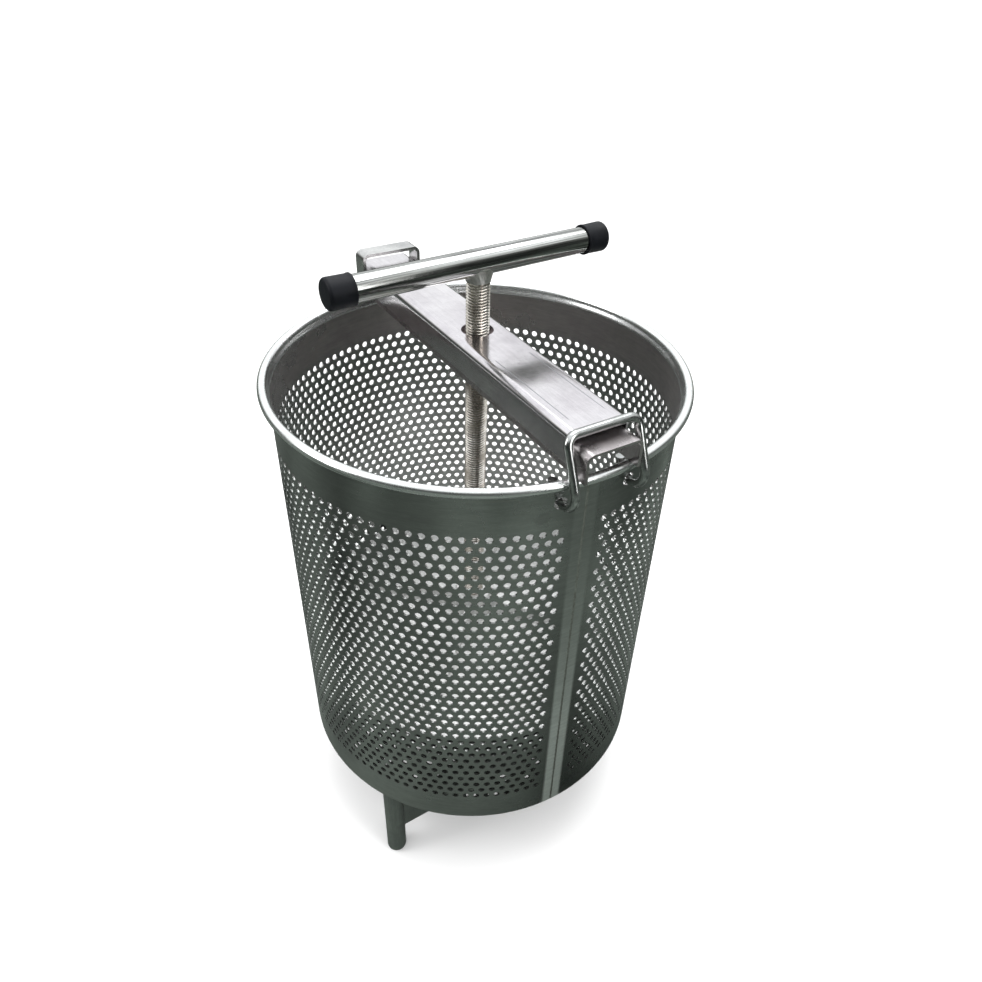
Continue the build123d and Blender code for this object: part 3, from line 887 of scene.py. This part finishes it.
# the start of each kept node's name and its material; the longest that fits is used
nodeLooks = {
    "beam_keeper": "keeperSteel", "beam": "channelSteel", "leg": "legSteel", "tie": "legSteel",
    "bottom": "wallSteel", "stirrup": "rodSteel", "rim": "rimLitSteel", "screw_nut": "nutSteel",
    "press": "plateSteel", "thrust": "washerBrass", "hub": "nutSteel",
}
for nodeName, target in nodes.items():
    if not target.hide_render:
        start = [key for key in nodeLooks if nodeName.startswith(key)]
        dress(target, nodeLooks[max(start, key=len)])
print("materials made")


# ---------- stage, light and camera

def addFloor():
    # one wide square on the ground, pale to the camera and dim and uneven where the steel mirrors it
    reach = 14.0
    points = np.array([[-reach, -reach, 0], [reach, -reach, 0], [reach, reach, 0], [-reach, reach, 0]])
    floor = buildMesh("floor", points, [np.array([[0, 1, 2, 3]])])
    material, tree, shader, place = newMaterial("floorPaint", {"Roughness": 0.95, "Specular IOR Level": 0.0})
    patches = rangeNode(tree, noiseNode(tree, place, 2.3, 2.0, 0.5), 0.35, 0.65, 0.0, 1.0)
    mirrored = mixColors(tree, patches, (0.008, 0.011, 0.009), (0.16, 0.185, 0.165))
    rays = tree.nodes.new("ShaderNodeLightPath")
    color = mixColors(tree, rays.outputs["Is Glossy Ray"], (0.90, 0.90, 0.90), mirrored)
    tree.links.new(color, shader.inputs["Base Color"])
    floor.data.materials.append(material)


def addSoftbox(name, place, target, size, power):
    light = bpy.data.lights.new(name, "AREA")
    light.shape, light.size, light.size_y, light.energy = "RECTANGLE", size[0], size[1], power
    holder = bpy.data.objects.new(name, light)
    holder.location = place
    holder.rotation_euler = (Vector(target) - Vector(place)).to_track_quat("-Z", "Y").to_euler()
    scene.collection.objects.link(holder)


def addWorld():
    # even white light on matt surfaces; mirrored, it is bright overhead and beyond the press
    # and dim behind the camera
    sky = {"away": (-0.85, 0.52, 0.0), "lean": 0.34, "diffuse": 1.35}
    skyStops = [(0.26, (0.05, 0.054, 0.05, 1)), (0.40, (0.42, 0.43, 0.42, 1)), (0.52, (1.20, 1.23, 1.23, 1))]
    world = bpy.data.worlds.new("studio")
    scene.world = world
    world.use_nodes = True
    tree = world.node_tree
    background = tree.nodes["Background"]
    direction = tree.nodes.new("ShaderNodeTexCoord").outputs["Generated"]
    split = tree.nodes.new("ShaderNodeSeparateXYZ")
    tree.links.new(direction, split.inputs[0])
    ahead = addNode(tree, "ShaderNodeVectorMath", operation="DOT_PRODUCT")
    tree.links.new(direction, ahead.inputs[0])
    ahead.inputs[1].default_value = sky["away"]
    leaned = mathNode(tree, "MULTIPLY", ahead.outputs["Value"], sky["lean"])
    height = mathNode(tree, "ADD", split.outputs["Z"], leaned)
    ramp = tree.nodes.new("ShaderNodeValToRGB")
    tree.links.new(height, ramp.inputs["Fac"])
    stops = ramp.color_ramp.elements
    stops[0].position, stops[0].color = 0.0, (0.03, 0.036, 0.033, 1)
    stops[1].position, stops[1].color = 1.0, (1.25, 1.28, 1.32, 1)
    for position, color in skyStops:
        stops.new(position).color = color
    rays = tree.nodes.new("ShaderNodeLightPath")
    white = (sky["diffuse"],) * 3
    color = mixColors(tree, rays.outputs["Is Glossy Ray"], white, ramp.outputs["Color"])
    tree.links.new(color, background.inputs["Color"])
    background.inputs["Strength"].default_value = 1.0


def addCamera():
    # a little to the left of the beam's near end, looking down on the rim
    view = {"azimuth": 59.5, "distance": 0.6097, "height": 0.8313, "pitch": 36.87, "yaw": 1.46,
            "roll": 1.83, "lens": 29.19, "sensor": 36.0}
    side = math.radians(view["azimuth"])
    place = Vector((view["distance"] * math.sin(side), -view["distance"] * math.cos(side), view["height"]))
    pitch, yaw, roll = (math.radians(view[key]) for key in ("pitch", "yaw", "roll"))
    forward = Vector((math.sin(yaw) * math.cos(pitch), math.cos(yaw) * math.cos(pitch), -math.sin(pitch)))
    right = Vector((math.cos(yaw), -math.sin(yaw), 0))
    up = right.cross(forward)
    rightRolled = math.cos(roll) * right + math.sin(roll) * up
    upRolled = -math.sin(roll) * right + math.cos(roll) * up
    turn = Matrix.Rotation(side, 3, "Z")
    axes = Matrix((turn @ rightRolled, turn @ upRolled, turn @ -forward)).transposed()
    camera = bpy.data.cameras.new("camera")
    camera.lens, camera.sensor_width = view["lens"], view["sensor"]
    holder = bpy.data.objects.new("camera", camera)
    holder.matrix_world = Matrix.Translation(place) @ axes.to_4x4()
    scene.collection.objects.link(holder)
    scene.camera = holder


addFloor()
addWorld()
addSoftbox("topLight", (-0.3, 0.4, 2.2), (0, 0, 0.4), (1.6, 1.6), 26)
addSoftbox("leftLight", (-0.6, -2.0, 1.5), (0, 0, 0.4), (0.9, 1.4), 20)
addSoftbox("rightLight", (2.2, 0.6, 1.4), (0, 0, 0.4), (0.7, 1.4), 14)
addCamera()
scene.view_settings.view_transform = "Standard"
print("stage made")
